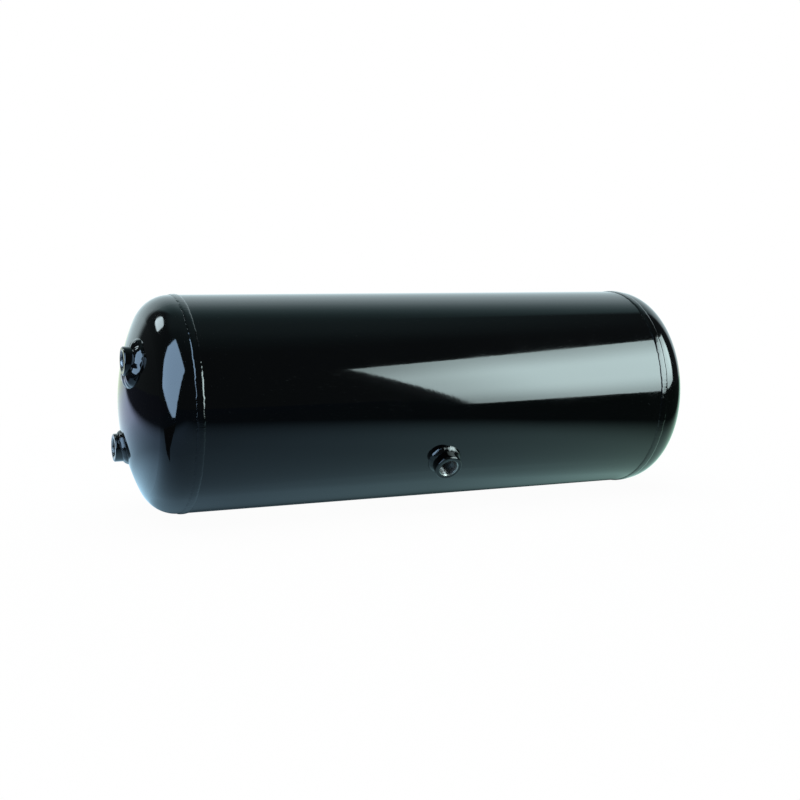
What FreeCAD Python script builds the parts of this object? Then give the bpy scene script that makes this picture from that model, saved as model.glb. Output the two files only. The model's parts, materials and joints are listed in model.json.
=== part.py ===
"""Horizontal air reservoir: a rolled shell, two pressed heads and six threaded ports.

The tank lies along X with its axis through the origin, its front to -Y and its top to +Z.
Lengths are in millimetres and angles in degrees.
"""
import FreeCAD, Part
import math
import os

import Sketcher

SIZES = {
    # Shell: a rolled tube with one weld along its length
    "shell_radius": 123.0,          # outside
    "shell_wall": 2.5,
    "shell_length": 569.0,          # between its cut edges
    # Heads: a crown and a knuckle pressed from plate, with an inset flange that enters the shell
    "head_wall": 3.0,
    "crown_radius": 237.5,          # outside
    "knuckle_radius": 37.5,         # outside
    "lip_length": 2.15,             # straight stretch between the shoulder and the knuckle
    "shoulder_run": 1.6,            # axial length of the step down to the flange
    "flange_length": 16.0,          # how far the flange enters the shell
    "flange_gap": 0.25,             # radial clearance between flange and shell
    # Weld beads
    "root_gap": 4.0,                # from the shell's edge to the head's full radius
    "girth_toe": 2.15,              # how far a girth weld lies over the shell
    "girth_crown": 1.1,             # how far it stands proud
    "seam_width": 7.0,
    "seam_crown": 0.8,
    "seam_turn": 38.0,              # from straight up towards the back
    "shell_fillet_leg": 5.0,        # up a shell port's boss
    "shell_fillet_foot": 4.2,       # along the wall
    "upper_fillet_leg": 7.5,        # the heavier weld round each head's upper port
    "upper_fillet_foot": 10.0,
    "lower_fillet_leg": 5.0,
    "lower_fillet_foot": 4.2,
    "fillet_land": 0.3,             # blunt width at the top of each leg
    # Ports: round bosses set through the wall, tapped M22 x 1.5
    "boss_radius": 16.0,
    "shell_boss_stand": 15.0,       # how far the face stands off the shell, on the port's axis
    "head_boss_stand": 11.5,        # the same for a head
    "boss_inset": 6.0,              # how far the boss reaches inside the wall
    "boss_gap": 0.2,                # radial clearance of the boss in its hole
    "boss_edge": 1.0,               # chamfer round the face
    "bore_radius": 10.19,           # tapping size of the thread
    "mouth_radius": 11.5,           # countersink
    "shell_port_drop": 32.5,        # below the horizontal, towards the front
    "upper_port_side": 33.2,        # from the tank's axis, to the right as one faces the head
    "upper_port_height": 52.6,
    "lower_port_side": -32.0,
    "lower_port_height": -50.2,
}

# Shared places, each an expression over the sheet
SHELL_END = "Sizes.shell_length / 2"
BORE_OF_SHELL = "(Sizes.shell_radius - Sizes.shell_wall)"
FLANGE_RADIUS = f"({BORE_OF_SHELL} - Sizes.flange_gap)"
LIP_START = f"({SHELL_END} + Sizes.root_gap)"
KNUCKLE_START = f"({LIP_START} + Sizes.lip_length)"
KNUCKLE_RISE = "(Sizes.shell_radius - Sizes.knuckle_radius)"
CENTRES_APART = "(Sizes.crown_radius - Sizes.knuckle_radius)"
CENTRES_ALONG = f"sqrt({CENTRES_APART}^2 - {KNUCKLE_RISE}^2)"
CROWN_CENTRE = f"({KNUCKLE_START} - {CENTRES_ALONG})"
HEAD_PORTS = ("upper", "lower")

doc = FreeCAD.newDocument("air_reservoir")
sheet = doc.addObject("Spreadsheet::Sheet", "Sizes")
for row, (name, value) in enumerate(SIZES.items(), start=1):
    sheet.set(f"A{row}", name)
    sheet.set(f"B{row}", str(value))
    sheet.setAlias(f"B{row}", name)
doc.recompute()
nodes = []


def value_of(expression):
    """The value of an expression over the sheet, used to lay a sketch out before it is solved."""
    return float(sheet.evalExpression(expression.replace("Sizes.", "")))


def new_body(label, placement=None):
    """An empty body, placed by an expression."""
    body = doc.addObject("PartDesign::Body", label)
    body.Label = label
    if placement:
        body.setExpression("Placement", placement)
    nodes.append(body)
    return body


def origin_plane(body, role):
    return next(f for f in body.Origin.OriginFeatures if f.Role == role)


def new_sketch(body, name, role):
    """A sketch on one of the body's own origin planes."""
    sketch = body.newObject("Sketcher::SketchObject", name)
    sketch.AttachmentSupport = [(origin_plane(body, role), "")]
    sketch.MapMode = "FlatFace"
    return sketch


def bind(sketch, constraint, expression):
    index = sketch.addConstraint(constraint)
    sketch.setExpression(f"Constraints[{index}]", expression)


def locate(sketch, edge, end, across, up):
    """Places one end of an edge by its two distances from the sketch's origin."""
    spot = sketch.getPoint(edge, end)
    for kind, now, expression, axis in (("DistanceX", spot.x, across, -2), ("DistanceY", spot.y, up, -1)):
        if expression == "0":
            sketch.addConstraint(Sketcher.Constraint("PointOnObject", edge, end, axis))
        else:
            bind(sketch, Sketcher.Constraint(kind, -1, 1, edge, end, now), expression)


def arc_between(start, end, radius, turn):
    """A minor arc from start to end that turns left (+1) or right (-1)."""
    chord = end - start
    to_centre = FreeCAD.Vector(-chord.y, chord.x, 0).normalize() * turn
    rise = radius - math.sqrt(radius**2 - (chord.Length / 2) ** 2)
    return Part.Arc(start, start + chord / 2 - to_centre * rise, end)


def draw_outline(sketch, corners):
    """A closed outline. Each corner gives its two distances and, before an arc, (radius, turn)."""
    spots = [FreeCAD.Vector(value_of(c[0]), value_of(c[1]), 0) for c in corners]
    ends = []
    for corner, start, end in zip(corners, spots, spots[1:] + spots[:1]):
        if len(corner) == 2:
            sketch.addGeometry(Part.LineSegment(start, end), False)
            ends.append((1, 2))
        else:
            radius, turn = corner[2]
            sketch.addGeometry(arc_between(start, end, value_of(radius), turn), False)
            ends.append((1, 2) if turn > 0 else (2, 1))
    for edge, corner in enumerate(corners):
        following = (edge + 1) % len(corners)
        sketch.addConstraint(
            Sketcher.Constraint("Coincident", edge, ends[edge][1], following, ends[following][0]))
        locate(sketch, edge, ends[edge][0], corner[0], corner[1])
        if len(corner) == 3:
            radius = corner[2][0]
            bind(sketch, Sketcher.Constraint("Radius", edge, value_of(radius)), radius)


def draw_circle(sketch, radius, across="0", up="0"):
    centre = FreeCAD.Vector(value_of(across), value_of(up), 0)
    edge = sketch.addGeometry(Part.Circle(centre, FreeCAD.Vector(0, 0, 1), value_of(radius)), False)
    locate(sketch, edge, 3, across, up)
    bind(sketch, Sketcher.Constraint("Radius", edge, value_of(radius)), radius)


def revolve(body, name, axis, corners):
    """A solid turned about the sketch's horizontal (H_Axis) or vertical (V_Axis) axis."""
    sketch = new_sketch(body, f"{name}_section", "XZ_Plane")
    draw_outline(sketch, corners)
    turned = body.newObject("PartDesign::Revolution", name)
    turned.Profile = sketch
    turned.ReferenceAxis = (sketch, [axis])
    turned.Angle = 360
    doc.recompute()
    return turned


def bore_wall(body, name, sketch):
    """Cuts a sketch's circles through the wall on the side that the sketch's normal points to."""
    before = body.Shape.Volume
    pocket = body.newObject("PartDesign::Pocket", name)
    pocket.Profile = sketch
    pocket.Type = "ThroughAll"
    pocket.Reversed = True
    doc.recompute()
    if not before - body.Shape.Volume > 1:
        raise RuntimeError(f"{name} cut nothing")


def fraction_of_centres(length):
    """A length laid off along the line from the crown's centre through the knuckle's centre."""
    along = f"({CROWN_CENTRE} + {length} * {CENTRES_ALONG} / {CENTRES_APART})"
    out = f"({length} * {KNUCKLE_RISE} / {CENTRES_APART})"
    return along, out


def port_offset(port):
    """Distance of a head port's axis from the tank's axis."""
    return f"sqrt(Sizes.{port}_port_side^2 + Sizes.{port}_port_height^2)"


def crown_rise(port):
    """Distance along the tank from the crown's centre to the wall at a head port's axis."""
    return f"sqrt(Sizes.crown_radius^2 - {port_offset(port)}^2)"


def end_turn(end):
    """The left end is the right end turned half round about the vertical."""
    return "rotationz(0)" if end == "right" else "rotationz(180)"


def shell_port_turn(side):
    """Turns straight up to a shell port's direction. The back port mirrors the front one."""
    return f"rotationx({'' if side == 'front' else '-'}(90 + Sizes.shell_port_drop))"


def make_shell():
    """The tube, with a port's hole low on the front and its mirror image on the back."""
    shell = new_body("shell")
    revolve(shell, "shell_tube", "H_Axis", [
        (f"-{SHELL_END}", BORE_OF_SHELL),
        (SHELL_END, BORE_OF_SHELL),
        (SHELL_END, "Sizes.shell_radius"),
        (f"-{SHELL_END}", "Sizes.shell_radius"),
    ])
    hole = new_sketch(shell, "front_port_hole", "XY_Plane")
    hole.setExpression("AttachmentOffset", f"placement(vector(0; 0; 0); {shell_port_turn('front')})")
    draw_circle(hole, "Sizes.boss_radius + Sizes.boss_gap")
    bore_wall(shell, "front_port_cut", hole)
    one_hole = shell.Shape.Volume
    back = shell.newObject("PartDesign::Mirrored", "back_port_cut")
    back.Originals = [shell.getObject("front_port_cut")]
    back.MirrorPlane = (origin_plane(shell, "XZ_Plane"), [""])
    shell.Tip = back
    doc.recompute()
    if not one_hole - shell.Shape.Volume > 1:
        raise RuntimeError("back_port_cut cut nothing")


def make_shell_seam():
    """A low cap of weld, its underside on the shell, from one girth weld to the other."""
    seam = new_body("shell_seam_weld", "placement(vector(0; 0; 0); rotationx(-Sizes.seam_turn))")
    sketch = new_sketch(seam, "seam_section", "YZ_Plane")
    half = "Sizes.seam_width / 2"
    level = f"sqrt(Sizes.shell_radius^2 - ({half})^2)"
    rise = f"(Sizes.shell_radius + Sizes.seam_crown - {level})"
    draw_outline(sketch, [
        (f"-{half}", level, ("Sizes.shell_radius", -1)),
        (half, level, (f"((({half})^2 + {rise}^2) / (2 * {rise}))", 1)),
    ])
    bead = seam.newObject("PartDesign::Pad", "seam_bead")
    bead.Profile = sketch
    bead.Midplane = True
    bead.setExpression("Length", "Sizes.shell_length - 2 * Sizes.girth_toe")


def make_head(end):
    head = new_body(f"{end}_head", f"placement(vector(0; 0; 0); {end_turn(end)})")
    inner_crown = "(Sizes.crown_radius - Sizes.head_wall)"
    inner_knuckle = "(Sizes.knuckle_radius - Sizes.head_wall)"
    shoulder_foot = f"({LIP_START} - Sizes.shoulder_run)"
    flange_end = f"({SHELL_END} - Sizes.flange_length)"
    inner_lip = "(Sizes.shell_radius - Sizes.head_wall)"
    inner_flange = f"({FLANGE_RADIUS} - Sizes.head_wall)"
    revolve(head, f"{end}_dish", "H_Axis", [
        (LIP_START, "Sizes.shell_radius"),
        (KNUCKLE_START, "Sizes.shell_radius", ("Sizes.knuckle_radius", -1)),
        (*fraction_of_centres("Sizes.crown_radius"), ("Sizes.crown_radius", -1)),
        (f"{CROWN_CENTRE} + Sizes.crown_radius", "0"),
        (f"{CROWN_CENTRE} + {inner_crown}", "0", (inner_crown, 1)),
        (*fraction_of_centres(inner_crown), (inner_knuckle, 1)),
        (KNUCKLE_START, inner_lip),
        (LIP_START, inner_lip),
        (shoulder_foot, inner_flange),
        (flange_end, inner_flange),
        (flange_end, FLANGE_RADIUS),
        (shoulder_foot, FLANGE_RADIUS),
    ])
    holes = new_sketch(head, f"{end}_port_holes", "YZ_Plane")
    for port in HEAD_PORTS:
        draw_circle(holes, "Sizes.boss_radius + Sizes.boss_gap",
                    f"Sizes.{port}_port_side", f"Sizes.{port}_port_height")
    bore_wall(head, f"{end}_port_cuts", holes)


def make_girth_weld(end):
    """Fills the groove between the shell's edge and the head's shoulder, with a low round crown."""
    weld = new_body(f"{end}_girth_weld", f"placement(vector(0; 0; 0); {end_turn(end)})")
    toe = f"({SHELL_END} - Sizes.girth_toe)"
    half = f"(({KNUCKLE_START} - {toe}) / 2)"
    crown_arc = f"(({half}^2 + Sizes.girth_crown^2) / (2 * Sizes.girth_crown))"
    revolve(weld, f"{end}_girth_bead", "H_Axis", [
        (toe, "Sizes.shell_radius"),
        (SHELL_END, "Sizes.shell_radius"),
        (SHELL_END, FLANGE_RADIUS),
        (f"({LIP_START} - Sizes.shoulder_run)", FLANGE_RADIUS),
        (LIP_START, "Sizes.shell_radius"),
        (KNUCKLE_START, "Sizes.shell_radius", (crown_arc, 1)),
    ])


def make_boss(label, part, placement):
    """A turned boss: its local Z is the port's axis, and its origin is on the wall's outside."""
    boss = new_body(label, placement)
    inside = f"-(Sizes.{part}_wall + Sizes.boss_inset)"
    face = f"Sizes.{part}_boss_stand"
    revolve(boss, f"{label}_turning", "V_Axis", [
        ("Sizes.bore_radius", inside),
        ("Sizes.boss_radius", inside),
        ("Sizes.boss_radius", f"({face} - Sizes.boss_edge)"),
        ("(Sizes.boss_radius - Sizes.boss_edge)", face),
        ("Sizes.mouth_radius", face),
        ("Sizes.bore_radius", f"({face} - Sizes.mouth_radius + Sizes.bore_radius)"),
    ])


def add_part(kind, name, **expressions):
    """A Part primitive whose properties are bound to the sheet."""
    thing = doc.addObject(f"Part::{kind}", name)
    for path, expression in expressions.items():
        thing.setExpression(path, expression)
    return thing


def make_fillet_weld(label, part, wall_solid, slope, placement):
    """A ring of weld round a boss. Its cone stands square to a wall that leans by slope."""
    leg, foot = f"Sizes.{part}_fillet_leg", f"Sizes.{part}_fillet_foot"
    rings = []
    for level, height, radius in (
        ("foot", f"-{foot}", f"(Sizes.boss_radius + {foot} + {foot} * {foot} / {leg})"),
        ("leg", leg, "(Sizes.boss_radius + Sizes.fillet_land)"),
    ):
        # Each ring follows the wall's lean, and seen along the boss it is round and centred on it
        rings.append(add_part(
            "Ellipse", f"{label}_{level}", MajorRadius=f"{radius} / cos({slope})", MinorRadius=radius,
            Placement=f"placement(vector(0; 0; {height} / cos({slope})); rotationy({slope}))"))
    cone = doc.addObject("Part::Loft", f"{label}_cone")
    cone.Sections = rings
    cone.Solid = True
    cone.Ruled = True
    core = add_part("Cylinder", f"{label}_core", Radius="Sizes.boss_radius",
                    Height="4 * Sizes.boss_radius",
                    Placement="placement(vector(0; 0; -2 * Sizes.boss_radius); rotationz(0))")
    ring = doc.addObject("Part::Cut", f"{label}_ring")
    ring.Base, ring.Tool = cone, core
    weld = doc.addObject("Part::Cut", label)
    weld.Base, weld.Tool = ring, wall_solid
    weld.Label = label
    weld.setExpression("Placement", placement)
    nodes.append(weld)


def make_shell_port(side):
    label = f"{side}_shell_port"
    outward = "-" if side == "front" else ""
    placement = (f"placement(vector(0; {outward}Sizes.shell_radius * cos(Sizes.shell_port_drop); "
                 "-Sizes.shell_radius * sin(Sizes.shell_port_drop)); "
                 f"{shell_port_turn(side)})")
    make_boss(f"{label}_boss", "shell", placement)
    tube = add_part("Cylinder", f"{label}_wall", Radius="Sizes.shell_radius",
                    Height="Sizes.shell_length",
                    Placement="placement(vector(-Sizes.shell_length / 2; 0; -Sizes.shell_radius); "
                              "rotationy(90))")
    make_fillet_weld(f"{label}_weld", "shell", tube, "0", placement)


def make_head_port(end, port):
    """Local Z is the tank's outward axis, and local X points away from the tank's axis."""
    side, height = f"Sizes.{port}_port_side", f"Sizes.{port}_port_height"
    along = f"({CROWN_CENTRE} + {crown_rise(port)})"
    placement = (f"placement(vector(0; 0; 0); {end_turn(end)}) * "
                 f"placement(vector({along}; {side}; {height}); "
                 f"rotationx(atan2({height}; {side})) * rotation(vector(1; 1; 1); 120))")
    make_boss(f"{end}_{port}_port_boss", "head", placement)
    crown = add_part("Sphere", f"{end}_{port}_port_wall", Radius="Sizes.crown_radius",
                     Placement=f"placement(vector(-{port_offset(port)}; 0; -{crown_rise(port)}); "
                               "rotationz(0))")
    slope = f"asin({port_offset(port)} / Sizes.crown_radius)"
    make_fillet_weld(f"{end}_{port}_port_weld", port, crown, slope, placement)


make_shell()
make_shell_seam()
for side_name in ("front", "back"):
    make_shell_port(side_name)
for end_name in ("left", "right"):
    make_head(end_name)
    make_girth_weld(end_name)
    for port_name in HEAD_PORTS:
        make_head_port(end_name, port_name)
doc.recompute()

for thing in doc.Objects:
    if "Invalid" in thing.State or "Error" in thing.State:
        raise RuntimeError(f"{thing.Name} failed: {thing.State}")
for node in nodes:
    if node.Shape.isNull() or not node.Shape.isValid() or len(node.Shape.Solids) != 1:
        raise RuntimeError(f"{node.Label} is not one sound solid")

os.makedirs("parts", exist_ok=True)
for node in nodes:
    node.Shape.exportStep(f"parts/{node.Label}.step")
    print(f"{node.Label}: {node.Shape.Volume / 1000:.1f} cm3")
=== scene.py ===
"""Horizontal air reservoir: paint, weld beads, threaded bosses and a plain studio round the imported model."""

import json
import math
from typing import NamedTuple

import bmesh
import bpy
from mathutils import Matrix, Vector


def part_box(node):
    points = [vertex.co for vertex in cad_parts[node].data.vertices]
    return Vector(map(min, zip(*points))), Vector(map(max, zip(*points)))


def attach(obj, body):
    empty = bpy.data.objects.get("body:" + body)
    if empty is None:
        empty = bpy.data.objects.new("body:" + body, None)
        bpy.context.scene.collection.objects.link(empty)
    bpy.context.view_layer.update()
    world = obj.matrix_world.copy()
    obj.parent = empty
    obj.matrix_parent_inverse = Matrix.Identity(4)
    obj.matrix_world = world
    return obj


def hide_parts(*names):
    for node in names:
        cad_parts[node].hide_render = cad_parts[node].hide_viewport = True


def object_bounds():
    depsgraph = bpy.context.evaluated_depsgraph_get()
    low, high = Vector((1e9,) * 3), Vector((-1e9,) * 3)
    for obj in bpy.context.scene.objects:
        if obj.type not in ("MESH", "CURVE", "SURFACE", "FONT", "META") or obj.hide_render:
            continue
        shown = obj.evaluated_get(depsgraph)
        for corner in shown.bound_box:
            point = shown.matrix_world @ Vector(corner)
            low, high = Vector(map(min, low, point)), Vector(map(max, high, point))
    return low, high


bl_info = {
    "name": "Air Reservoir",
    "version": (1, 0, 0),
    "blender": (4, 5, 0),
    "location": "3D View > Sidebar > Tank",
    "description": "Finishes a welded air reservoir: gloss paint, weld beads, threaded bosses and a studio",
    "category": "Object",
}

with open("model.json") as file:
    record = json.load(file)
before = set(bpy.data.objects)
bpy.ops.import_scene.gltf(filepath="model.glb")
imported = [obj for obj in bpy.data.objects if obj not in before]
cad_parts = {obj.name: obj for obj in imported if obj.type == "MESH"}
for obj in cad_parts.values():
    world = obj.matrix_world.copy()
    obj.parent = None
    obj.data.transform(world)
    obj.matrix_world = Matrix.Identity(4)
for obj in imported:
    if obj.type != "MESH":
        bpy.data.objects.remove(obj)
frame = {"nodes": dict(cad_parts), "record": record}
CAD_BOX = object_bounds()

BODY = "root"
SHELL_LOW, SHELL_HIGH = (Vector(corner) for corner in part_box("shell"))
SHELL_RADIUS = (SHELL_HIGH.z - SHELL_LOW.z) / 2
FLOOR_LEVEL = CAD_BOX[0][2]
PORTS = [mount for mount in frame["record"]["mounts"] if mount["kind"] == "threaded_hole"]
ENDS = ("left", "right")


# ---------------------------------------------------------------- settings

def length(name, default, text):
    return bpy.props.FloatProperty(name=name, description=text, default=default, unit="LENGTH", precision=5)


def share(name, default, text):
    return bpy.props.FloatProperty(name=name, description=text, default=default, min=0.0, max=1.0)


def amount(name, default, text):
    return bpy.props.FloatProperty(name=name, description=text, default=default)


def angle(name, default, text):
    return bpy.props.FloatProperty(
        name=name, description=text, default=math.radians(default), subtype="ANGLE", unit="ROTATION")


def colour(name, default, text):
    return bpy.props.FloatVectorProperty(
        name=name, description=text, default=default, size=3, min=0.0, subtype="COLOR")


class TankFinish(bpy.types.PropertyGroup):
    """Colours and textures of the painted steel and the bare threads."""

    paint: colour("Paint", (0.0010, 0.0012, 0.0016), "Black of the gloss paint")
    paint_roughness: share("Paint Roughness", 0.055, "Roughness of clean paint")
    haze: share("Haze", 0.05, "Roughness that the duller patches add")
    peel_height: length("Peel Height", 0.000012, "Height of the fine orange peel")
    peel_size: length("Peel Size", 0.0045, "Width of one dimple of the orange peel")
    sag_height: length("Sag Height", 0.00006, "Height of the plate's slow waves under the paint")
    sag_size: length("Sag Size", 0.07, "Width of one of the plate's slow waves")
    patch_scale: amount("Patch Scale", 9.0, "Duller patches in a metre")
    speck_scale: amount("Speck Scale", 900.0, "Places for a speck of dust in a metre")
    speck_share: share("Speck Share", 0.12, "How much a speck of dust colours the paint")
    speck_roughness: share("Speck Roughness", 0.2, "Roughness that a speck of dust adds")
    dust: colour("Dust", (0.10, 0.11, 0.11), "Colour of settled dust")
    steel: colour("Steel", (0.30, 0.30, 0.29), "Colour of the bare steel at a port's mouth")
    # a darker steel colour that the threads inside the bore take
    darker_steel: colour("Dull Steel", (0.13, 0.13, 0.135), "Colour of the threads inside it")
    oxide: colour("Oxide", (0.06, 0.045, 0.035), "Colour of the film on the steel")
    film_scale: amount("Film Scale", 150.0, "Patches of film in a metre")
    film_share: share("Film Share", 0.55, "How much the film colours the steel")
    film_dulling: share("Film Dulling", 0.35, "How much less metallic the film is")
    grain_scale: amount("Grain Scale", 700.0, "Grains of the cut steel in a metre")
    grain_height: length("Grain Height", 0.000006, "Height of the cut steel's grain")


class TankWelds(bpy.types.PropertyGroup):
    """Sizes of the weld beads."""

    ripple_pitch: length("Ripple Pitch", 0.0017, "Distance from one ripple to the next")
    girth_ripple: length("Girth Ripple", 0.00005, "Height of a ripple of the girth beads")
    seam_ripple: length("Seam Ripple", 0.00007, "Height of a ripple of the shell's seam")
    port_ripple: length("Port Ripple", 0.00013, "Height of a ripple of the ports' welds")
    wander: length("Wander", 0.0006, "How far a bead's edges stray from their line")
    girth_wander: length("Girth Wander", 0.0012, "How far a girth bead's edges stray from their line")
    girth_width: amount("Girth Width", 1.10, "Width of a girth bead, as a share of its box in the frame")
    girth_crown: amount("Girth Crown", 0.86, "Height of a girth bead, as a share of its box in the frame")
    seam_width: length("Seam Width", 0.0056, "Width of the shell's seam")
    seam_crown: length("Seam Crown", 0.00062, "Height of the shell's seam")
    port_leg: length("Port Leg", 0.0046, "How far a port's weld climbs its boss")
    port_foot: length("Port Foot", 0.0040, "How far a port's weld spreads on the wall")
    heavy_leg: length("Heavy Leg", 0.0070, "How far the heavier weld climbs a head's upper boss")
    heavy_foot: length("Heavy Foot", 0.0115, "How far it spreads on the head")
    heavy_skew: share("Heavy Skew", 0.30, "How much wider it is towards the tank's axis than away from it")
    heavy_bulge: length("Heavy Bulge", 0.0020, "How far it swells out")
    heavy_pitch: length("Heavy Pitch", 0.0042, "Distance from one of its ripples to the next")
    heavy_ripple: length("Heavy Ripple", 0.00003, "Height of its ripples")
    heavy_lumps: amount("Heavy Lumps", 3.0, "How unevenly it swells")
    port_bulge: length("Port Bulge", 0.0006, "How far the other ports' welds swell out")
    port_lumps: amount("Port Lumps", 1.0, "How unevenly they swell")
    sink: length("Sink", 0.0006, "How far a bead's underside lies in the plate")
    seed: bpy.props.IntProperty(name="Seed", description="Seed of the beads' unevenness", default=7)


class TankBosses(bpy.types.PropertyGroup):
    """Sizes of the threaded bosses."""

    crown_radius: length("Crown Radius", 0.2375, "Outside radius of the heads' crowns")
    shell_stand: length("Shell Stand", 0.015, "How far a boss's face stands off the shell")
    head_stand: length("Head Stand", 0.0115, "How far a boss's face stands off a head")
    mouth_radius: length("Mouth Radius", 0.0115, "Radius of the countersink at the mouth")
    edge: length("Edge", 0.001, "Chamfer round the face")
    thread_pitch: length("Thread Pitch", 0.0015, "Pitch of the thread")
    thread_depth: length("Thread Depth", 0.00081, "Depth of the thread")


class TankStage(bpy.types.PropertyGroup):
    """The studio: camera, backdrop, table and lights."""

    camera_distance: length("Camera Distance", 1.4633, "From the tank's middle to the camera")
    camera_azimuth: angle("Camera Azimuth", -23.33, "Round the tank from the front")
    camera_elevation: angle("Camera Elevation", 5.79, "Above the tank's middle")
    aim: bpy.props.FloatVectorProperty(
        name="Aim", description="The point that the camera looks at", default=(-0.0114, 0.0, -0.0066),
        size=3, subtype="TRANSLATION", unit="LENGTH", precision=4)
    lens: bpy.props.FloatProperty(
        name="Lens", description="Focal length on a 36 mm sensor", default=53.97, unit="CAMERA")
    backdrop: colour("Backdrop", (0.95, 1.18, 1.25), "Light of the pale backdrop")
    backdrop_half: angle("Backdrop Half Width", 48.0, "From the backdrop's middle to its side")
    dark_room: amount("Dark Room", 0.05, "Light of the room beside and behind the camera")
    contact_shade: length("Contact Shade", 0.068, "How far the tank's shadow reaches from its underside")
    table_shade: amount("Table Shade", 0.03, "How much of a shadow the white table shows")
    softbox: colour("Softbox", (10.2, 13.0, 13.1), "Light of the softbox at the right")
    card: colour("Card", (3.6, 5.5, 7.8), "Light of the softbox at the left")
    spot: colour("Spot", (4.9, 6.0, 6.4), "Light of the small lamp behind the left end")
    top: amount("Top", 3.1, "Light of the soft light overhead")


SETTINGS = (TankFinish, TankWelds, TankBosses, TankStage)


# ---------------------------------------------------------------- node trees

class Tree:
    """Adds nodes to a node tree and links them. A socket, a number or a vector may feed an input."""

    def __init__(self, tree):
        self.tree = tree

    def node(self, kind, settings=None, **inputs):
        node = self.tree.nodes.new(kind)
        for key, value in (settings or {}).items():
            setattr(node, key, value)
        for key, value in inputs.items():
            self.feed(node.inputs[key.replace("_", " ")], value)
        return node

    def feed(self, socket, value):
        if isinstance(value, bpy.types.NodeSocket):
            self.tree.links.new(value, socket)
        else:
            socket.default_value = value

    def math(self, operation, *values, clamp=False):
        node = self.tree.nodes.new("ShaderNodeMath")
        node.operation = operation
        node.use_clamp = clamp
        for socket, value in zip(node.inputs, values):
            self.feed(socket, value)
        return node.outputs[0]

    def add(self, a, b):
        return self.math("ADD", a, b)

    def sub(self, a, b):
        return self.math("SUBTRACT", a, b)

    def mul(self, a, b):
        return self.math("MULTIPLY", a, b)

    def div(self, a, b):
        return self.math("DIVIDE", a, b)

    def vector(self, x, y, z):
        node = self.tree.nodes.new("ShaderNodeCombineXYZ")
        for socket, value in zip(node.inputs, (x, y, z)):
            self.feed(socket, value)
        return node.outputs[0]

    def split(self, vector):
        node = self.tree.nodes.new("ShaderNodeSeparateXYZ")
        self.feed(node.inputs[0], vector)
        return node.outputs

    def remap(self, value, low, high, to_low=0.0, to_high=1.0, smooth=True):
        node = self.tree.nodes.new("ShaderNodeMapRange")
        node.interpolation_type = "SMOOTHSTEP" if smooth else "LINEAR"
        for key, entry in (("Value", value), ("From Min", low), ("From Max", high),
                           ("To Min", to_low), ("To Max", to_high)):
            self.feed(node.inputs[key], entry)
        return node.outputs["Result"]

    def noise(self, vector, scale, detail=2.0, roughness=0.5):
        node = self.tree.nodes.new("ShaderNodeTexNoise")
        for key, entry in (("Vector", vector), ("Scale", scale), ("Detail", detail),
                           ("Roughness", roughness)):
            self.feed(node.inputs[key], entry)
        return node.outputs[0]


# ---------------------------------------------------------------- materials

def new_material(name):
    material = bpy.data.materials.new(name)
    material.use_nodes = True
    material.node_tree.nodes.clear()
    return material, Tree(material.node_tree)


def mix_colour(tree, factor, a, b):
    node = tree.tree.nodes.new("ShaderNodeMix")
    node.data_type = "RGBA"
    tree.feed(node.inputs[0], factor)
    tree.feed(node.inputs[6], a)
    tree.feed(node.inputs[7], b)
    return node.outputs[2]


def surface(tree, **inputs):
    shader = tree.node("ShaderNodeBsdfPrincipled", **inputs)
    output = tree.node("ShaderNodeOutputMaterial")
    tree.tree.links.new(shader.outputs[0], output.inputs["Surface"])
    return shader


def gloss_paint(finish):
    """Sprayed black gloss: fine orange peel over a plate that waves a little, with duller patches."""
    material, tree = new_material("gloss_black_paint")
    place = tree.node("ShaderNodeTexCoord").outputs["Object"]
    peel = tree.noise(place, 1 / finish.peel_size, 1.5, 0.45)
    sag = tree.noise(place, 1 / finish.sag_size, 1.0, 0.4)
    height = tree.add(tree.mul(peel, finish.peel_height), tree.mul(sag, finish.sag_height))
    bump = tree.node("ShaderNodeBump", Height=height, Distance=1.0, Strength=1.0)
    patches = tree.remap(tree.noise(place, finish.patch_scale, 3.0, 0.6), 0.45, 0.75)
    specks = tree.remap(tree.noise(place, finish.speck_scale, 1.0, 0.5), 0.73, 0.80)
    roughness = tree.add(finish.paint_roughness, tree.mul(patches, finish.haze))
    tint = mix_colour(tree, tree.mul(specks, finish.speck_share), (*finish.paint, 1.0), (*finish.dust, 1.0))
    surface(tree, Base_Color=tint, Roughness=tree.add(roughness, tree.mul(specks, finish.speck_roughness)),
            IOR=1.5, Normal=bump.outputs[0])
    return material


def bare_thread(finish):
    """Cut steel with patches of brown film: bright on the countersink, darker on the threads inside."""
    material, tree = new_material("bare_steel_thread")
    place = tree.node("ShaderNodeTexCoord").outputs["Object"]
    grain = tree.noise(place, finish.grain_scale, 2.0, 0.6)
    film = tree.remap(tree.noise(place, finish.film_scale, 2.0, 0.5), 0.4, 0.75)
    depth_of_cut = tree.node("ShaderNodeAttribute", {"attribute_name": "cut"}).outputs["Fac"]
    inside = tree.remap(depth_of_cut, 0.01, 0.5)
    # the thread's faces take a darker steel colour than the countersink at the mouth
    steel = mix_colour(tree, inside, (*finish.steel, 1.0), (*finish.darker_steel, 1.0))
    tint = mix_colour(tree, tree.mul(film, finish.film_share), steel, (*finish.oxide, 1.0))
    height = tree.mul(grain, finish.grain_height)
    bump = tree.node("ShaderNodeBump", Height=height, Distance=1.0, Strength=1.0)
    surface(tree, Base_Color=tint, Metallic=tree.sub(1.0, tree.mul(film, finish.film_dulling)),
            Roughness=tree.remap(film, 0.0, 1.0, 0.24, 0.5), Normal=bump.outputs[0])
    return material


def material_named(name):
    return bpy.data.materials[name]


# ---------------------------------------------------------------- pieces

def keep_piece(piece, *nodes):
    """Parents a finished piece to the body's empty, in place of the CAD nodes that it stands for, which it
    hides.
    """
    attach(piece, BODY)
    if nodes:
        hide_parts(*nodes)


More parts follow.
